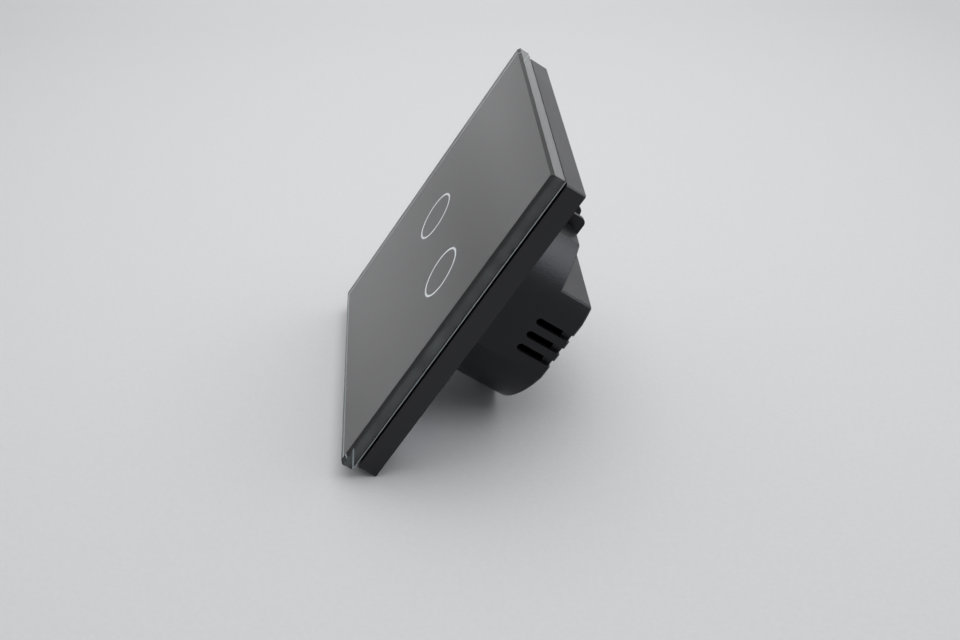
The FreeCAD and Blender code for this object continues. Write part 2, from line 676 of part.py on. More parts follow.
def header_socket():
    """Connector on the touch board with a square hole for each pin."""
    depth = POWER_FRONT - S.header_base - RIM_FRONT
    body = new_body("header_socket", 0, RIM_FRONT, HEADER_RISE)
    outline = wall_sketch(body, "socket_outline")
    width = S.header_pitch * HEADER_PINS / 2
    rectangle(outline, -width, -S.header_width / 2, width, S.header_width / 2)
    pad(body, outline, depth)
    holes = wall_sketch(body, "socket_holes", S.socket_floor)
    half = S.header_pin_side / 2 + S.header_pin_gap
    for step in range(HEADER_PINS):
        middle = S.header_pitch * (step - (HEADER_PINS - 1) / 2)
        rectangle(holes, middle - half, -half, middle + half, half)
    pocket(body, holes, depth - S.socket_floor)


def header_pins():
    """Pin strip on the power board that plugs into the touch board's connector."""
    depth = POWER_FRONT - S.header_base - RIM_FRONT
    body = new_body("header_pins", 0, POWER_FRONT - S.header_base, HEADER_RISE)
    outline = wall_sketch(body, "strip_outline")
    width = S.header_pitch * HEADER_PINS / 2
    rectangle(outline, -width, -S.header_width / 2, width, S.header_width / 2)
    pad(body, outline, S.header_base)
    reach = depth - S.socket_floor - S.pin_end_gap
    pins = wall_sketch(body, "strip_pins", -reach)
    half = S.header_pin_side / 2
    for step in range(HEADER_PINS):
        middle = S.header_pitch * (step - (HEADER_PINS - 1) / 2)
        rectangle(pins, middle - half, -half, middle + half, half)
    pad(body, pins, reach + S.header_base / 2)


def cover_screw(number, x, z):
    """Pan-head screw that clamps the cover and the housing's flange to the plate."""
    head_front = COVER_FRONT + S.screw_sink
    body = new_body(f"cover_screw_{number}", x * SCREW_OFFSET, head_front, z * SCREW_OFFSET)
    profile = new_sketch(body, f"screw_{number}", "XY")
    length = -head_front - S.screw_end_gap
    polygon(profile, [
        (0, 0), (S.screw_head_radius, 0), (S.screw_head_radius, S.screw_head_height),
        (S.screw_shank_radius, S.screw_head_height), (S.screw_shank_radius, length), (0, length),
    ])
    turn(body, profile)


def rear_housing():
    """Moulded housing: stepped round body with flats, flange, vents and terminal chambers."""
    body = new_body("rear_housing")
    outline = wall_sketch(body, "housing_outline", RIM_FRONT)
    flat_sided_round(outline, S.housing_radius, HOUSING_FLAT, HOUSING_TOP)
    pad(body, outline, S.deep_depth - RIM_FRONT)
    step = wall_sketch(body, "housing_step", S.shallow_depth)
    wide = S.housing_radius + OVERCUT
    rectangle(step, -wide, LEDGE_RISE, wide, wide)
    stepped = pocket(body, step, S.deep_depth - S.shallow_depth)
    round_edges(body, stepped, S.edge_bevel, is_outer_rear_edge, "Chamfer")
    flange(body)
    wall = S.housing_wall
    for name, top, back in (
        ("deep", LEDGE_RISE, S.deep_depth - S.rear_wall),
        ("shallow", HOUSING_TOP, SHALLOW_INSIDE),
    ):
        inside = wall_sketch(body, f"{name}_inside", RIM_FRONT)
        flat_sided_round(inside, S.housing_radius - wall, HOUSING_FLAT - wall, top - wall)
        pocket(body, inside, back - RIM_FRONT)
    board_ribs(body)
    partitions(body)
    terminal_barriers(body)
    terminal_holes(body)
    vent_slots(body)


def is_outer_rear_edge(point, edge):
    """Edges of the two rear faces and the ledge's sides, but not the ledge's inner corner."""
    deep = near(point.y, S.deep_depth)
    shallow = near(point.y, S.shallow_depth) and not near(point.z, LEDGE_RISE)
    ledge_side = near(point.z, LEDGE_RISE) and along(edge, 1)
    return deep or shallow or ledge_side


def flange(body):
    """Square flange that lies on the mounting plate."""
    outline = wall_sketch(body, "flange_outline", FLANGE_FRONT)
    square(outline, COVER_HALF + S.flange_lip)
    sheet = pad(body, outline, S.flange_thick)
    limit = (COVER_HALF + S.flange_lip).value

    def is_corner(point, edge):
        return along(edge, 1) and near(abs(point.x), limit) and near(abs(point.z), limit)

    round_edges(body, sheet, S.cover_corner, is_corner, "Chamfer")
    holes = wall_sketch(body, "flange_holes", FLANGE_FRONT)
    for x, z in CORNERS:
        circle(holes, S.screw_shank_radius + S.screw_hole_gap, x * SCREW_OFFSET, z * SCREW_OFFSET)
    pocket(body, holes, S.flange_thick)


def board_ribs(body):
    """Four ribs along the wall, whose front ends carry the power board."""
    inner = S.housing_radius - S.housing_wall
    offset = S.housing_radius - S.rib_inset
    for name, level, back in (
        ("upper", 1, SHALLOW_INSIDE),
        ("lower", -1, S.deep_depth - S.rear_wall),
    ):
        ribs = wall_sketch(body, f"ribs_{name}", POWER_BACK)
        reach = Size(math.sqrt(inner.value**2 - offset.value**2))
        reach.text = f"sqrt({inner.text} ^ 2 - {offset.text} ^ 2)"
        low = level * (reach - S.rib_height + S.housing_wall / 2)
        high = level * (reach + S.housing_wall / 2)
        for side in SIDES.values():
            middle = side * offset
            rectangle(ribs, middle - S.rib_width / 2, low, middle + S.rib_width / 2, high)
        pad(body, ribs, back - POWER_BACK + S.housing_wall / 2)


def partitions(body):
    """Walls inside that keep the three clamp cages apart and guide them."""
    walls = wall_sketch(body, "partitions", CAGE_REST)
    low = TERMINAL_RISE - S.cage_length / 2
    high = HOUSING_TOP - S.housing_wall / 2
    half = S.partition_thick / 2
    for step in range(len(TERMINALS) + 1):
        middle = S.terminal_pitch * (step - len(TERMINALS) / 2)
        rectangle(walls, middle - half, low, middle + half, high)
    pad(body, walls, SHALLOW_INSIDE - CAGE_REST + S.housing_wall / 2)


def terminal_barriers(body):
    """Two barriers that stand on the flat top and behind the terminal part."""
    for name, side in SIDES.items():
        profile = new_sketch(body, f"barrier_{name}", "YZ", side * S.terminal_pitch / 2)
        inner_back = S.shallow_depth - S.housing_wall / 2
        inner_rise = HOUSING_TOP - S.housing_wall / 2
        back = S.shallow_depth + S.barrier_reach
        top = HOUSING_TOP + S.barrier_rise
        polygon(profile, [
            (PLATE_FRONT, inner_rise), (PLATE_FRONT, top), (back, top), (back, LEDGE_RISE),
            (inner_back, LEDGE_RISE), (inner_back, inner_rise),
        ])
        wall = pad(body, profile, S.barrier_thick, centred=True)

        def is_rear_top(point, edge):
            return along(edge, 0) and near(point.y, back) and near(point.z, top)

        round_edges(body, wall, S.barrier_round, is_rear_top)


def terminal_holes(body):
    """A wire entry in the flat top and a screwdriver hole behind each terminal."""
    entries = new_sketch(body, "wire_entries", "XY", HOUSING_TOP)
    drivers = wall_sketch(body, "driver_holes", SHALLOW_INSIDE)
    for step in TERMINALS.values():
        circle(entries, S.wire_hole_radius, step * S.terminal_pitch, WIRE_FLOOR + WIRE_GAP / 2)
        circle(drivers, S.driver_hole_radius, step * S.terminal_pitch, TERMINAL_RISE)
    pocket(body, entries, S.housing_wall)
    pocket(body, drivers, S.housing_wall)


def vent_slots(body):
    """Three slots in each side flat, round in front and open at the rear face."""
    for name, side in SIDES.items():
        slots = new_sketch(body, f"vents_{name}", "YZ", side * HOUSING_FLAT)
        for step in range(VENTS):
            rise = S.vent_pitch * (step - (VENTS - 1) / 2)
            length = S.vent_length + S.vent_width
            middle = S.deep_depth - S.vent_length + length / 2
            slot(slots, length, S.vent_width, middle, rise)
        pocket(body, slots, S.vent_depth, reverse=side < 0)


def power_board():
    """Round board with side flats on the housing's ribs."""
    body = new_body("power_board", 0, POWER_FRONT, 0)
    outline = wall_sketch(body, "power_outline")
    inset = S.housing_wall + S.board_gap
    flat_sided_round(outline, S.housing_radius - inset, HOUSING_FLAT - inset, HOUSING_TOP - inset)
    pad(body, outline, S.power_board_thick)


def moulded_block(label, width, height, length, x, z, bevel):
    """A cased component on the power board with bevelled edges away from the board."""
    body = new_body(label, x, POWER_BACK, z)
    outline = wall_sketch(body, f"{label}_outline")
    rectangle(outline, -width / 2, -length / 2, width / 2, length / 2)
    case = pad(body, outline, height)
    round_edges(body, case, bevel, lambda p, e: not near(p.y, 0), "Chamfer")


def transformer():
    """Core with a wound bobbin through it."""
    width = TRANSFORMER_WIDTH
    length = S.transformer_length
    height = S.transformer_height
    foot = S.transformer_foot
    drop = -S.transformer_drop
    inset = 2 * S.coil_inset
    base = block("bobbin_base", width, foot, length, 0, POWER_BACK, drop)
    core = block("transformer_core", width, S.transformer_core, length, 0, POWER_BACK + height / 2, drop)
    coil = block("transformer_coil", width - inset, height - foot, length - inset,
                 0, POWER_BACK + foot, drop)
    fused("transformer", [base, core, coil])


def filter_capacitor():
    """Standing electrolytic can with a bevelled end."""
    body = new_body("filter_capacitor", 0, POWER_BACK, -S.filter_cap_drop)
    profile = new_sketch(body, "can_profile", "XY")
    radius = S.filter_cap_radius
    height = S.filter_cap_height
    bevel = S.can_bevel
    polygon(profile, [(0, 0), (radius, 0), (radius, height - bevel), (radius - bevel, height), (0, height)])
    turn(body, profile)


def lying_cylinder(label, radius, length, x, y, z, direction):
    """A cylinder centred on a point, its axis along a direction."""
    rod = DOC.addObject("Part::Cylinder", label)
    bind(rod, "Radius", radius)
    bind(rod, "Height", length)
    rod.Placement.Rotation = Rotation(Vector(0, 0, 1), direction)
    shift = direction * -0.5
    place(rod, x + length * shift.x, y + length * shift.y, z + length * shift.z)
    return rod


def surge_varistor():
    """Coated disc on two leads."""
    x = S.small_part_offset
    z = -SMALL_PART_DROP
    reach = S.varistor_stand + S.varistor_radius
    parts = [lying_cylinder("varistor_disc", S.varistor_radius, S.varistor_thick,
                            x, POWER_BACK + reach, z, Vector(0, 0, 1))]
    for name, side in SIDES.items():
        lead_x = x + side * S.varistor_lead_spacing / 2
        parts.append(block(f"varistor_lead_{name}", S.lead_side, reach, S.lead_side, lead_x, POWER_BACK, z))
    fused("surge_varistor", parts)


def fuse_resistor():
    """Lying cylinder on two leads."""
    x = -S.small_part_offset
    z = -SMALL_PART_DROP
    reach = S.fuse_radius + S.fuse_stand
    parts = [lying_cylinder("fuse_body", S.fuse_radius, S.fuse_length,
                            x, POWER_BACK + reach, z, Vector(1, 0, 0))]
    for name, side in SIDES.items():
        lead_x = x + side * (S.fuse_length / 2 - S.lead_side)
        parts.append(block(f"fuse_lead_{name}", S.lead_side, reach, S.lead_side, lead_x, POWER_BACK, z))
    fused("fuse_resistor", parts)


def clamp_cage(side, step):
    """Rectangular cage with a window for the wire and a threaded rear wall."""
    body = new_body(f"clamp_cage_{side}", step * S.terminal_pitch, CAGE_REST, TERMINAL_RISE)
    profile = new_sketch(body, f"cage_{side}", "XY")
    half = CAGE_WIDTH / 2
    window_back = S.cage_floor + CAGE_WINDOW
    rectangle(profile, -half, 0, half, window_back + S.cage_nut)
    inner = half - S.cage_wall
    rectangle(profile, -inner, S.cage_floor, inner, window_back)
    pad(body, profile, S.cage_length, centred=True)
    nut = wall_sketch(body, f"nut_{side}", window_back)
    circle(nut, S.terminal_shank_radius + S.nut_gap)
    pocket(body, nut, S.cage_nut)


def contact_bar(side, step):
    """Flat bar through the cage with a foot on the power board."""
    body = new_body(f"contact_bar_{side}", step * S.terminal_pitch, POWER_BACK, TERMINAL_RISE)
    profile = new_sketch(body, f"bar_{side}", "YZ")
    front = BAR_FRONT - POWER_BACK
    top = S.cage_length / 2
    foot_top = BAR_FOOT_TOP - TERMINAL_RISE
    foot_low = foot_top - S.bar_thick
    polygon(profile, [
        (0, foot_low), (front + S.bar_thick, foot_low), (front + S.bar_thick, top),
        (front, top), (front, foot_top), (0, foot_top),
    ])
    pad(body, profile, CAGE_WIDTH - 2 * S.cage_wall - 2 * S.bar_side_gap, centred=True)


def terminal_screw(side, step):
    """Captive screw with a slotted head under the screwdriver hole."""
    tip = BAR_FRONT + S.bar_thick + S.terminal_end_gap
    body = new_body(f"terminal_screw_{side}", step * S.terminal_pitch, tip, TERMINAL_RISE)
    profile = new_sketch(body, f"terminal_{side}", "XY")
    length = HEAD_BACK - tip
    under_head = length - S.terminal_head_height
    polygon(profile, [
        (0, 0), (S.terminal_shank_radius, 0), (S.terminal_shank_radius, under_head),
        (S.terminal_head_radius, under_head), (S.terminal_head_radius, length), (0, length),
    ])
    turn(body, profile)
    cross = wall_sketch(body, f"driver_slot_{side}", length - S.driver_slot_depth)
    reach = S.terminal_head_radius + OVERCUT
    rectangle(cross, -reach, -S.driver_slot_width / 2, reach, S.driver_slot_width / 2)
    pocket(body, cross, S.driver_slot_depth)


def build():
    glass_panel()
    panel_adhesive()
    panel_frame()
    front_cover()
    touch_board()
    for side in SIDES:
        light_lens(side)
        touch_electrode(side)
        indicator_led(side)
    touch_chip()
    header_socket()
    header_pins()
    mounting_plate()
    rear_housing()
    for number, (x, z) in enumerate(CORNERS, start=1):
        cover_screw(number, x, z)
    power_board()
    for side, sign in SIDES.items():
        moulded_block(f"relay_{side}", S.relay_width, S.relay_height, S.relay_length,
                      sign * RELAY_OFFSET, -S.relay_drop, S.relay_bevel)
    moulded_block("film_capacitor", S.film_cap_width, S.film_cap_height, S.film_cap_length,
                  0, FILM_CAP_RISE, S.film_cap_bevel)
    transformer()
    filter_capacitor()
    surge_varistor()
    fuse_resistor()
    for side, step in TERMINALS.items():
        clamp_cage(side, step)
        contact_bar(side, step)
        terminal_screw(side, step)


def pieces():
    """Every finished sub-part: the bodies, and the solids that no other object uses."""
    found = []
    for thing in DOC.Objects:
        if thing.TypeId == "PartDesign::Body":
            found.append(thing)
        elif thing.TypeId.startswith("Part::") and not thing.InList:
            found.append(thing)
    return found


def check_and_export():
    DOC.recompute()
    for thing in DOC.Objects:
        if "Invalid" in thing.State or "Error" in thing.State:
            raise RuntimeError(f"{thing.Name} failed: {thing.State}")
    os.makedirs("parts", exist_ok=True)
    for piece in pieces():
        shape = piece.Shape
        if shape.isNull() or not shape.isValid():
            raise RuntimeError(f"{piece.Label} has no valid shape")
        shape.exportStep(f"parts/{piece.Label}.step")
        print(f"{piece.Label}: {len(shape.Solids)} solid, {shape.Volume:.1f} mm3")


build()
check_and_export()
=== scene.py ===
import math

import bpy
import numpy as np
from mathutils import Matrix, Vector


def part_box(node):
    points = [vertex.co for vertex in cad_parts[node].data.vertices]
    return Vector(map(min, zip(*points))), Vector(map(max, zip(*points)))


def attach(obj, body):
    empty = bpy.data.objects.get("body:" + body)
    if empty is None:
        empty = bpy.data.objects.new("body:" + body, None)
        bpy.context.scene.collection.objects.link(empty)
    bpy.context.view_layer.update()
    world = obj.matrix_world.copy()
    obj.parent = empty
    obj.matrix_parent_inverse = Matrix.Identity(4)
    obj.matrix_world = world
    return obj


# Double touch light switch, put together from the wall to the glass. Lengths are in metres.
# Seen from the front, +X is right and +Z is up, and the glass faces -Y.
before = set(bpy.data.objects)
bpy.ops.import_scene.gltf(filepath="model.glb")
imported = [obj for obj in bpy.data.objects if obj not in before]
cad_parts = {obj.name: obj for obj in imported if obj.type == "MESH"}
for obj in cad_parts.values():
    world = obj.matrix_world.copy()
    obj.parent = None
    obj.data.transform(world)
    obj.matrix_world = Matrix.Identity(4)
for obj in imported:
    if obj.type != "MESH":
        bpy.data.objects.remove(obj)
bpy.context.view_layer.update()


# Mounting plate. It is pressed from zinc-plated steel sheet and is screwed to the wall box.
# The plating has faint spangles, and the sheet keeps the fine lines of the rolling mill.
class Wire:
    """One shader socket; arithmetic on it adds Math nodes."""

    def __init__(self, tree, socket):
        self.tree = tree
        self.socket = socket

    def math(self, operation, *others):
        node = self.tree.nodes.new("ShaderNodeMath")
        node.operation = operation
        for inlet, value in zip(node.inputs, (self, *others)):
            connect(self.tree, inlet, value)
        return Wire(self.tree, node.outputs[0])

    def __add__(self, other):
        return self.math("ADD", other)

    def __mul__(self, other):
        return self.math("MULTIPLY", other)

    def __sub__(self, other):
        return self.math("SUBTRACT", other)

    def __rsub__(self, other):
        return self * -1.0 + other

    def __gt__(self, other):
        return self.math("GREATER_THAN", other)

    def __lt__(self, other):
        return self.math("LESS_THAN", other)

    __radd__ = __add__
    __rmul__ = __mul__


def connect(tree, inlet, value):
    """Links a socket to an inlet, or sets the inlet to a number or a colour."""
    if isinstance(value, Wire):
        tree.links.new(value.socket, inlet)
    elif isinstance(value, tuple) and len(inlet.default_value) == 4:
        inlet.default_value = (*value, 1.0)
    else:
        inlet.default_value = value


class Finish:
    """A material made of one Principled shader and the nodes that feed it."""

    def __init__(self, name, color, roughness, **constants):
        self.material = bpy.data.materials.new(name)
        self.material.use_nodes = True
        self.tree = self.material.node_tree
        self.shader = self.tree.nodes["Principled BSDF"]
        self.place = self.node("ShaderNodeTexCoord", {}, {}, "Object")
        self.feed("Base Color", color)
        self.feed("Roughness", roughness)
        for socket, value in constants.items():
            self.feed(socket.replace("_", " "), value)

    def node(self, kind, settings, sockets, outlet=0):
        """Adds a node: its settings first, then the values or links of its sockets."""
        node = self.tree.nodes.new(kind)
        for name, value in settings.items():
            setattr(node, name, value)
        for name, value in sockets.items():
            connect(self.tree, node.inputs[name], value)
        return Wire(self.tree, node.outputs[outlet])

    def feed(self, socket, value):
        connect(self.tree, self.shader.inputs[socket], value)

    def noise(self, size, detail=2.0, stretch=(1.0, 1.0, 1.0)):
        """Soft noise from 0 to 1 whose patches are about one size across."""
        drawn = self.node(
            "ShaderNodeMapping", {}, {"Vector": self.place, "Scale": Vector(stretch)})
        sockets = {"Vector": drawn, "Scale": 1.0 / size, "Detail": detail}
        return self.node("ShaderNodeTexNoise", {}, sockets, "Fac")

    def axes(self):
        """The three object coordinates, in metres."""
        split = self.node("ShaderNodeSeparateXYZ", {}, {"Vector": self.place}).socket.node
        return [Wire(self.tree, outlet) for outlet in split.outputs]

    def along(self, direction, start):
        """How far a point lies along a direction from a start, in metres."""
        offset = self.node(
            "ShaderNodeVectorMath", {"operation": "SUBTRACT"}, {0: self.place, 1: start})
        return self.node(
            "ShaderNodeVectorMath", {"operation": "DOT_PRODUCT"},
            {0: offset, 1: Vector(direction)}, "Value")

    def blend(self, factor, first, second):
        """The first colour where the factor is 0, the second where it is 1."""
        node = self.tree.nodes.new("ShaderNodeMix")
        node.data_type = "RGBA"
        connect(self.tree, node.inputs[0], factor)
        connect(self.tree, node.inputs[6], first)
        connect(self.tree, node.inputs[7], second)
        return Wire(self.tree, node.outputs[2])

    def relief(self, height, depth):
        """Raises the surface by the height, times a depth in metres."""
        bump = self.node("ShaderNodeBump", {}, {"Height": height, "Distance": depth})
        self.feed("Normal", bump)

    def show(self, mixed):
        """Shows a mix of shaders in place of the Principled shader alone."""
        connect(self.tree, self.tree.nodes["Material Output"].inputs["Surface"], mixed)


def dress(finish, *nodes):
    """Gives CAD nodes a finish."""
    for name in nodes:
        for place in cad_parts[name].material_slots:
            place.material = finish.material


spangles_per_metre = 520.0
zinc = Finish("zinc_plated_sheet", (0.60, 0.61, 0.62), 0.36, Metallic=1.0)
cells = zinc.node(
    "ShaderNodeTexVoronoi", {}, {"Vector": zinc.place, "Scale": spangles_per_metre}, "Color")
# The product turns each cell's colour into one number.
spangle = cells * 1.0
rolled = zinc.noise(0.0005, 3.0, (0.03, 1.0, 1.0))
passivated = zinc.noise(0.018, 2.0)
zinc.feed("Base Color", zinc.blend(
    0.35 * spangle + 0.65 * passivated, (0.64, 0.65, 0.66), (0.52, 0.53, 0.56)))
zinc.feed("Roughness", 0.28 + 0.07 * spangle + 0.13 * rolled)
zinc.relief(rolled, 0.000012)
dress(zinc, "mounting_plate")


# Rear housing. One moulding of black flame-retardant plastic: a round body with a step for the
# terminals, held to the plate by its flange. Its outside has a spark-eroded grain, rubbed
# smoother in places, and its back shows the four round marks of the mould's ejector pins.
def moulded_black(name, tone, grain_size, dull, index=1.40):
    """Matt black moulded plastic of a refractive index: faint cloudiness, polished patches.

    Its grain is kept, so that the piece can raise it to its own depth.
    """
    finish = Finish(name, tone, dull, IOR=index)
    finish.grain = finish.noise(grain_size, 3.0)
    cloud = finish.noise(0.012, 2.0)
    lighter = tuple(1.5 * channel for channel in tone)
    finish.tint = finish.blend(cloud * 0.6 + finish.grain * 0.4, tone, lighter)
    finish.feed("Base Color", finish.tint)
    finish.dullness = dull - 0.06 + 0.12 * cloud
    finish.feed("Roughness", finish.dullness)
    return finish


def from_pins(finish, aside, rise):
    """Distance on the back from the nearer of two ejector pins, one on each side."""
    x, y, z = finish.axes()
    across = x.math("ABSOLUTE") - aside
    up = z - rise
    return (across * across + up * up).math("SQRT")


pin_radius = 0.0021
pin_line = 0.00013
back_skin = 0.0001
housing_black = moulded_black("housing_grain", (0.0070, 0.0075, 0.0095), 0.00022, 0.31, 1.34)
upper_pins = from_pins(housing_black, 0.0125, 0.0055)
lower_pins = from_pins(housing_black, 0.0105, -0.0135)
from_pin = upper_pins.math("MINIMUM", lower_pins)
on_back = housing_black.axes()[1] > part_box("rear_housing")[1].y - back_skin
pin_disc = (from_pin < pin_radius) * on_back
pin_edge = ((from_pin - pin_radius).math("ABSOLUTE") < pin_line) * on_back
housing_black.feed(
    "Base Color", housing_black.blend(pin_edge, housing_black.tint, (0.002, 0.002, 0.003)))
housing_black.feed("Roughness", housing_black.dullness - 0.12 * pin_disc)
pitted = housing_black.grain + 0.65 * housing_black.noise(0.0006, 2.0)
housing_black.relief(pitted * (1.0 - 0.7 * pin_disc) - 2.5 * pin_edge, 0.000030)
dress(housing_black, "rear_housing")


# Clamps. Each nickel-plated steel cage slides on the walls of its chamber when its captive
# screw turns, and presses the wire against a brass bar that is soldered to the power board.
def bright_metal(name, color, dark, rough):
    """Plated or bare metal with drawing lines and faint staining."""
    finish = Finish(name, color, rough, Metallic=1.0)
    lines = finish.noise(0.00012, 2.0, (1.0, 0.06, 1.0))
    stain = finish.noise(0.0018, 3.0)
    finish.feed("Base Color", finish.blend(stain, color, dark))
    finish.feed("Roughness", rough - 0.08 + 0.16 * lines + 0.06 * stain)
    finish.relief(lines, 0.000006)
    return finish


nickel = bright_metal("nickel_plated_cage", (0.62, 0.60, 0.57), (0.50, 0.48, 0.45), 0.30)
brass = bright_metal("drawn_brass", (0.66, 0.49, 0.24), (0.50, 0.35, 0.16), 0.32)
screw_metal = bright_metal("zinc_plated_screw", (0.58, 0.58, 0.57), (0.42, 0.42, 0.41), 0.34)
for side in ("left", "common", "right"):
    dress(nickel, f"clamp_cage_{side}")
    dress(brass, f"contact_bar_{side}")
    dress(screw_metal, f"terminal_screw_{side}")


# Power board. Glass-fibre board with green resist over its tracks, on the ribs of the housing,
# and the parts soldered to it: two relays, the supply's transformer and its small parts.
def turned_to_wall(finish):
    """Coordinates with x and y along the object's X and Z, for a flat pattern on a board."""
    x, y, z = finish.axes()
    return finish.node("ShaderNodeCombineXYZ", {}, {"X": x, "Y": z, "Z": y})


def board_green(name, pitch):
    """Green resist over copper tracks that run square to each other, over a faint weave."""
    finish = Finish(name, (0.012, 0.085, 0.035), 0.32)
    tracks = finish.node(
        "ShaderNodeTexBrick", {"offset": 0.37, "squash": 0.6},
        {"Vector": turned_to_wall(finish), "Scale": 1.0 / pitch, "Mortar Size": 0.09}, "Fac")
    weave = finish.noise(0.0004, 2.0)
    resist = finish.blend(tracks, (0.010, 0.072, 0.030), (0.020, 0.135, 0.060))
    finish.feed("Base Color", finish.blend(weave * 0.3, resist, (0.006, 0.050, 0.022)))
    finish.feed("Roughness", 0.26 + 0.14 * weave)
    finish.relief(tracks, 0.00003)
    return finish


def cased(name, color, shade, rough, grain_size, grain_depth):
    """A moulded or dipped case: slightly uneven colour over a fine surface."""
    finish = Finish(name, color, rough)
    patches = finish.noise(0.004, 3.0)
    grain = finish.noise(grain_size, 2.0)
    finish.feed("Base Color", finish.blend(patches, color, shade))
    finish.feed("Roughness", rough - 0.05 + 0.10 * grain)
    finish.relief(grain, grain_depth)
    return finish


def striped(name, color, shade, pitch, axis, rough):
    """A winding or lamination: lines across one axis, each as high as it is wide, painted darker
    where they are low: painted shade in the grooves.
    """
    finish = Finish(name, color, rough)
    phase = finish.axes()[axis] * (2.0 * math.pi / pitch)
    waves = phase.math("SINE") * 0.5 + 0.5
    # Painted shade: the colour darkens towards the grooves between the lines.
    finish.feed("Base Color", finish.blend(waves, shade, color))
    finish.relief(waves, pitch * 0.3)
    return finish


power_green = board_green("power_board_resist", 0.0042)
relay_blue = cased("relay_case", (0.022, 0.075, 0.21), (0.016, 0.055, 0.16), 0.30, 0.0003, 0.00001)
film_yellow = cased("film_case", (0.72, 0.49, 0.05), (0.62, 0.40, 0.035), 0.35, 0.0005, 0.00001)
winding = striped("transformer_tape", (0.72, 0.60, 0.16), (0.52, 0.42, 0.10), 0.0011, 1, 0.38)
sleeve = cased("can_sleeve", (0.018, 0.020, 0.030), (0.028, 0.030, 0.045), 0.26, 0.0009, 0.00002)
dipped = cased("varistor_coat", (0.02, 0.10, 0.30), (0.015, 0.07, 0.22), 0.36, 0.0007, 0.00004)
fuse_body = cased("fuse_coat", (0.12, 0.24, 0.16), (0.09, 0.19, 0.12), 0.44, 0.0006, 0.00003)
dress(power_green, "power_board")
dress(relay_blue, "relay_left", "relay_right")
dress(film_yellow, "film_capacitor")
dress(winding, "transformer")
dress(sleeve, "filter_capacitor")
dress(dipped, "surge_varistor")
dress(fuse_body, "fuse_resistor")


# Touch board. A thin board behind the cover, with the chip that senses a finger and the
# connector that plugs onto the power board's pins.
touch_green = board_green("touch_board_resist", 0.0026)
chip_epoxy = cased(
    "chip_epoxy", (0.014, 0.014, 0.015), (0.022, 0.022, 0.023), 0.52, 0.00015, 0.00001)
connector_nylon = cased(
    "connector_nylon", (0.018, 0.018, 0.018), (0.030, 0.030, 0.030), 0.44, 0.0003, 0.00001)
pin_tin = bright_metal("tinned_pin", (0.70, 0.69, 0.66), (0.55, 0.54, 0.51), 0.28)
dress(touch_green, "touch_board")
dress(chip_epoxy, "touch_chip")
dress(connector_nylon, "header_socket")
dress(pin_tin, "header_pins")


# Lights and sensing rings. Each ring of bare copper lies round a small light on the board,
# under a milky lens that spreads the light to the ring printed on the glass.
copper = bright_metal("etched_copper", (0.66, 0.33, 0.20), (0.48, 0.22, 0.12), 0.34)
milky = cased("milky_lens", (0.74, 0.75, 0.74), (0.68, 0.70, 0.70), 0.40, 0.0004, 0.00001)
light_resin = cased("light_resin", (0.78, 0.72, 0.45), (0.70, 0.62, 0.32), 0.25, 0.0003, 0.00001)
milky.feed("Subsurface Weight", 0.15)
milky.feed("Subsurface Scale", 0.0006)
for side in ("left", "right"):
    dress(copper, f"touch_electrode_{side}")
    dress(milky, f"light_lens_{side}")
    dress(light_resin, f"indicator_led_{side}")


# Front cover. A shallow black moulding that holds the lenses and closes the housing; four
# pan-head screws clamp it, the housing's flange and the plate together.
cover_black = moulded_black("cover_grain", (0.016, 0.016, 0.017), 0.00030, 0.50)
cover_black.relief(cover_black.grain, 0.000020)
dress(cover_black, "front_cover")
dress(screw_metal, "cover_screw_1", "cover_screw_2", "cover_screw_3", "cover_screw_4")


# Panel frame. Black plastic, moulded with four hooks that snap into the plate's lugs, so the
# glass can be pulled off. Its outside is finer in grain than the housing.
frame_black = moulded_black("frame_grain", (0.0095, 0.0097, 0.0125), 0.00016, 0.34)
frame_black.relief(frame_black.grain, 0.000022)
dress(frame_black, "panel_frame")


# Adhesive. A strip of dark foam tape that bonds the glass to the frame, set back from the edge,
# so that it shows as a dark line. It is open-celled and dull.
foam = cased("foam_tape", (0.008, 0.008, 0.008), (0.016, 0.016, 0.016), 0.92, 0.00025, 0.00012)
dress(foam, "panel_adhesive")


# Glass. A square of clear hardened glass with a polished front chamfer. Its back is printed:
# black all over, with a white ring over each sensing place. The rear edge is ground, and the
# sides keep a faint streaky haze of the grinding, strongest in the middle of the thickness.
# The haze is also painted reflection: its streaks and its bluish grey stand in for the room
# mirrored in the polished sides, and lighten them.
glass_low, glass_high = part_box("glass_panel")
panel_rise = (glass_low.z + glass_high.z) / 2
hair = 0.00001
arris_width = 0.00024
haze_middle = glass_high.y - 0.0017
haze_half = 0.0013
glass = Finish("hardened_glass", (0.90, 0.95, 0.96), 0.0, IOR=1.52, Transmission_Weight=1.0)
glass.feed("Roughness", 0.080 + 0.008 * glass.noise(0.01, 2.0))
x, y, z = glass.axes()
from_middle = x.math("ABSOLUTE").math("MAXIMUM", (z - panel_rise).math("ABSOLUTE"))
on_side = from_middle > glass_high.x - hair
off_side = from_middle < glass_high.x - hair
arris = (from_middle > glass_high.x - arris_width) * off_side
arris = arris * (y > glass_high.y - arris_width)
across = (y - haze_middle) * (1.0 / haze_half)
band = (1.0 - across * across).math("MAXIMUM", 0.0)
# Painted reflection: these streaks and the bluish grey on the sides stand in for the room mirrored
# there, over a real haze of the grinding.
streaks_and_painted_reflection = glass.noise(0.0045, 3.0, (1.0, 0.35, 1.0))
haze_and_painted_reflection = on_side * band * (0.015 + 0.34 * streaks_and_painted_reflection * streaks_and_painted_reflection)
# Ground glass for the rear arris; on the sides its bluish grey is also painted reflection.
ground = glass.node(
    "ShaderNodeBsdfPrincipled", {}, {"Base Color": (0.45, 0.51, 0.54), "Roughness": 0.55})
clear = Wire(glass.tree, glass.shader.outputs[0])
edged = glass.node("ShaderNodeMixShader", {}, {0: arris.math("MAXIMUM", haze_and_painted_reflection), 1: clear, 2: ground})
glass.show(edged)
dress(glass, "glass_panel")


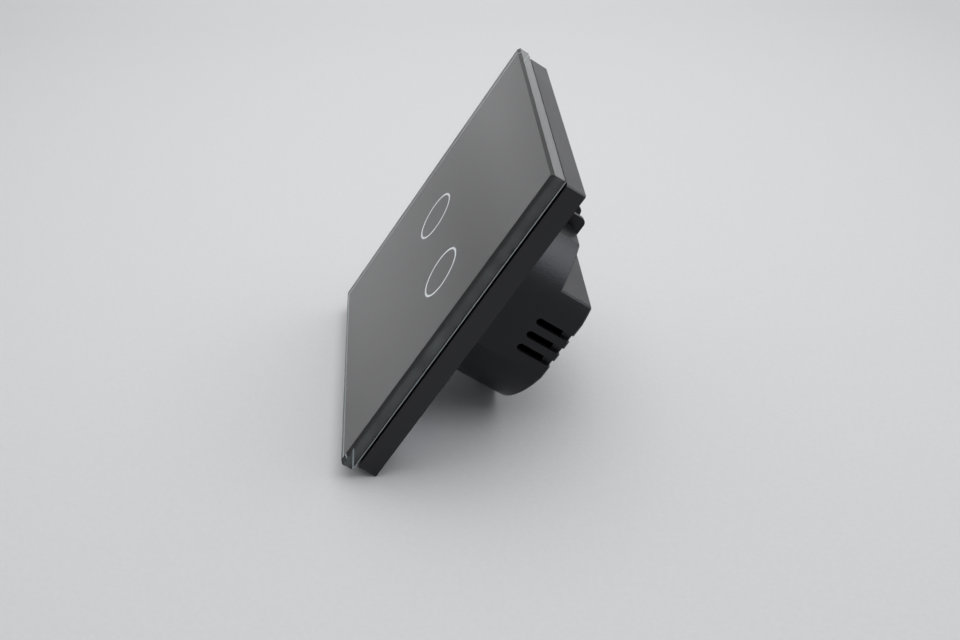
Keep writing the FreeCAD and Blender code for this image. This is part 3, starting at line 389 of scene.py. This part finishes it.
def sheet_mesh(name, corners, faces, finish):
    """A piece of given points and faces, with its finish."""
    mesh = bpy.data.meshes.new(name)
    mesh.from_pydata([tuple(corner) for corner in corners], [], [tuple(face) for face in faces])
    mesh.update()
    mesh.materials.append(finish.material)
    piece = bpy.data.objects.new(name, mesh)
    bpy.context.scene.collection.objects.link(piece)
    return piece


def coat(name, half, rise, front, back, finish):
    """A thin square layer: the eight corners of a box, each side a face that looks outwards."""
    signs = np.array([(i & 1, (i >> 1) & 1, (i >> 2) & 1) for i in range(8)])
    low = np.array([-half, front, rise - half])
    high = np.array([half, back, rise + half])
    faces = [(0, 1, 5, 4), (2, 6, 7, 3), (0, 4, 6, 2), (1, 3, 7, 5), (0, 2, 3, 1), (4, 5, 7, 6)]
    return sheet_mesh(name, np.where(signs, high, low), faces, finish)


def flat_ring(name, centre, inner, outer, front, back, finish):
    """A flat ring: a rectangle in radius and depth, carried round the centre.

    Point (i, j) is corner j of the rectangle at angle 2 pi i / turns.
    """
    turns = 128
    angle = np.linspace(0.0, 2.0 * math.pi, turns, endpoint=False)[:, None]
    radius = np.array([inner, outer, outer, inner])[None, :]
    depth = np.array([front, front, back, back])[None, :] + 0.0 * angle
    points = np.stack(
        [centre[0] + radius * np.cos(angle), depth, centre[1] + radius * np.sin(angle)], axis=-1)
    i = np.arange(turns)[:, None]
    j = np.arange(4)[None, :]
    following = (i + 1) % turns
    corner = (j + 1) % 4
    faces = np.stack(
        [4 * i + j, 4 * i + corner, 4 * following + corner, 4 * following + j], axis=-1)
    return sheet_mesh(name, points.reshape(-1, 3), faces.reshape(-1, 4), finish)


print_inset = 0.00030
black_back = glass_high.y - hair
black_front = black_back - 0.00002
white_back = black_back - 0.00003
white_front = black_back - 0.00005
ring_inner = 0.00577
ring_outer = 0.00632

print_black = Finish("back_print_black", (0.0095, 0.0097, 0.0105), 0.6, Specular_IOR_Level=0.0)
mottle = print_black.noise(0.02, 3.0)
print_black.feed(
    "Base Color",
    print_black.blend(mottle, (0.0085, 0.0087, 0.0095), (0.0120, 0.0122, 0.0130)))
paint = coat(
    "back_print", glass_high.x - print_inset, panel_rise, black_front, black_back, print_black)
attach(paint, "switch")

print_white_painted_glow = Finish("back_print_white", (0.80, 0.81, 0.82), 0.5, Specular_IOR_Level=0.0)
dots = print_white_painted_glow.noise(0.0004, 2.0)
print_white_painted_glow.feed("Base Color", print_white_painted_glow.blend(dots, (0.88, 0.89, 0.90), (0.78, 0.79, 0.81)))
# The print also glows weakly: painted light that brightens the white rings.
print_white_painted_glow.feed("Emission Color", (0.95, 0.98, 1.0))
print_white_painted_glow.feed("Emission Strength", 0.35)
for side in ("left", "right"):
    lens_low, lens_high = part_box(f"light_lens_{side}")
    centre = ((lens_low.x + lens_high.x) / 2, (lens_low.z + lens_high.z) / 2)
    ring = flat_ring(
        f"printed_ring_{side}", centre, ring_inner, ring_outer, white_front, white_back,
        print_white_painted_glow)
    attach(ring, "switch")


# Table. The switch lies on a pale table, on the lower edge of its frame and the lower rim of
# its housing, so the table is tilted here. Its tone is painted light: it is palest in a painted
# pool of light beside the switch and falls off slowly around it, and it is painted paler towards
# the window, where the glass mirrors it. From below, nothing of it shows.
table_up = Vector((0.0, -0.567, 0.824)).normalized()
table_right = Vector((1.0, 0.0, 0.0))
table_ahead = table_up.cross(table_right)
contact = Vector((0.0, 0.0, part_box("panel_frame")[0].z))
reach = 4.0
table_points = [
    contact + reach * (a * table_right + b * table_ahead)
    for a, b in ((-1, -1), (1, -1), (1, 1), (-1, 1))]
table_with_painted_light = Finish("table_with_painted_light", (0.66, 0.66, 0.665), 0.75, Specular_IOR_Level=0.2)
# Painted light: a pool of light painted round this place, on the table beside the switch.
painted_light_centre = contact - 0.136 * table_right + 0.033 * table_ahead
to_window = table_with_painted_light.along(-table_right, painted_light_centre)
across_table = table_with_painted_light.along(table_ahead, painted_light_centre)
beyond = to_window.math("MINIMUM", 0.16)
tone = (1.0 - 1.7 * beyond * beyond - 3.4 * across_table * across_table).math("MAXIMUM", 0.82)
# Painted window light: paler beyond 0.20 m towards the window, for the glass to mirror.
painted_window_light = (2.2 * (to_window - 0.20)).math("MAXIMUM", 0.0).math("MINIMUM", 1.0)
table_grain = table_with_painted_light.noise(0.0011, 3.0)
painted_light_and_grain = 0.828 * tone + 0.27 * painted_window_light - 0.05 * table_grain
table_with_painted_light.feed("Base Color", table_with_painted_light.blend(painted_light_and_grain, (0.0, 0.0, 0.0), (0.868, 0.870, 0.880)))
table_with_painted_light.relief(table_grain, 0.00004)
underside = table_with_painted_light.node("ShaderNodeNewGeometry", {}, {}, "Backfacing")
nothing = table_with_painted_light.node("ShaderNodeBsdfTransparent", {}, {})
lit = Wire(table_with_painted_light.tree, table_with_painted_light.shader.outputs[0])
one_sided = table_with_painted_light.node("ShaderNodeMixShader", {}, {0: underside, 1: lit, 2: nothing})
table_with_painted_light.show(one_sided)
table = sheet_mesh("table", table_points, [(0, 1, 2, 3)], table_with_painted_light)


# Light. Daylight comes from the switch's left, the right side of the room is dimmer, and a
# wide soft lamp hangs above the table. A second lamp only gives the plastics their sheen. The
# backdrop that is seen, also in the glass and the metal, is palest low on the left.
world = bpy.data.worlds.new("day_lit_room")
bpy.context.scene.world = world
world.use_nodes = True
sky = world.node_tree
direction = sky.nodes.new("ShaderNodeTexCoord").outputs["Generated"]
facing = sky.nodes.new("ShaderNodeSeparateXYZ")
sky.links.new(direction, facing.inputs[0])
height = sky.nodes.new("ShaderNodeVectorMath")
height.operation = "DOT_PRODUCT"
height.inputs[1].default_value = table_up
sky.links.new(direction, height.inputs[0])
left = -1.0 * Wire(sky, facing.outputs["X"])
off_horizon = Wire(sky, height.outputs["Value"]).math("ABSOLUTE")
low_band = (1.0 - 2.8 * off_horizon).math("MAXIMUM", 0.0)
window_glow = low_band * left.math("MAXIMUM", 0.0)
# The room lights the switch by day, and is seen as shown.
day = 0.40 + 0.30 * left + 0.40 * window_glow
shown = 0.56 + 0.46 * window_glow
rays = sky.nodes.new("ShaderNodeLightPath").outputs
seen_sky = Wire(sky, rays["Is Camera Ray"])
for kind in ("Is Glossy Ray", "Is Transmission Ray"):
    seen_sky = seen_sky.math("MAXIMUM", Wire(sky, rays[kind]))
backdrop = sky.nodes["Background"]
backdrop.inputs["Color"].default_value = (0.985, 0.99, 1.0, 1.0)
connect(sky, backdrop.inputs["Strength"], day + seen_sky * (shown - day))


def soft_lamp(name, toward, width, energy, color, distance=4.0):
    """A round lamp that stands off in a direction and faces the switch."""
    lamp_data = bpy.data.lights.new(name, "AREA")
    lamp_data.shape = "DISK"
    lamp_data.size = width
    lamp_data.energy = energy
    lamp_data.color = color
    lamp = bpy.data.objects.new(name, lamp_data)
    toward = Vector(toward).normalized()
    lamp.location = toward * distance
    lamp.rotation_mode = "QUATERNION"
    lamp.rotation_quaternion = toward.to_track_quat("Z", "Y")
    bpy.context.scene.collection.objects.link(lamp)
    return lamp


soft_lamp("ceiling_lamp", (-0.05, -0.27, 0.88), 6.6, 166.0, (1.0, 1.0, 1.0))
sheen_lamp = soft_lamp("sheen_lamp", (0.26, 0.32, 0.89), 3.0, 96.0, (0.86, 0.91, 1.0))
sheen_lamp.visible_diffuse = False


# Camera. It stands to the right and a little above, close to the plane of the glass. Its place
# and its lens were worked out from the four corners of the panel in the photograph.
camera_data = bpy.data.cameras.new("camera")
camera_data.lens = 54.71
camera_data.sensor_width = 36.0
camera_data.clip_start = 0.01
camera = bpy.data.objects.new("camera", camera_data)
right = Vector((0.0613, 0.8280, 0.5573)).normalized()
back = Vector((0.8777, -0.3106, 0.3649)).normalized()
up = back.cross(right).normalized()
turn = Matrix((right, up, back)).transposed().to_4x4()
camera.matrix_world = Matrix.Translation((0.3040, -0.09605, 0.1140)) @ turn
bpy.context.scene.collection.objects.link(camera)
bpy.context.scene.camera = camera
bpy.context.scene.view_settings.view_transform = "Standard"
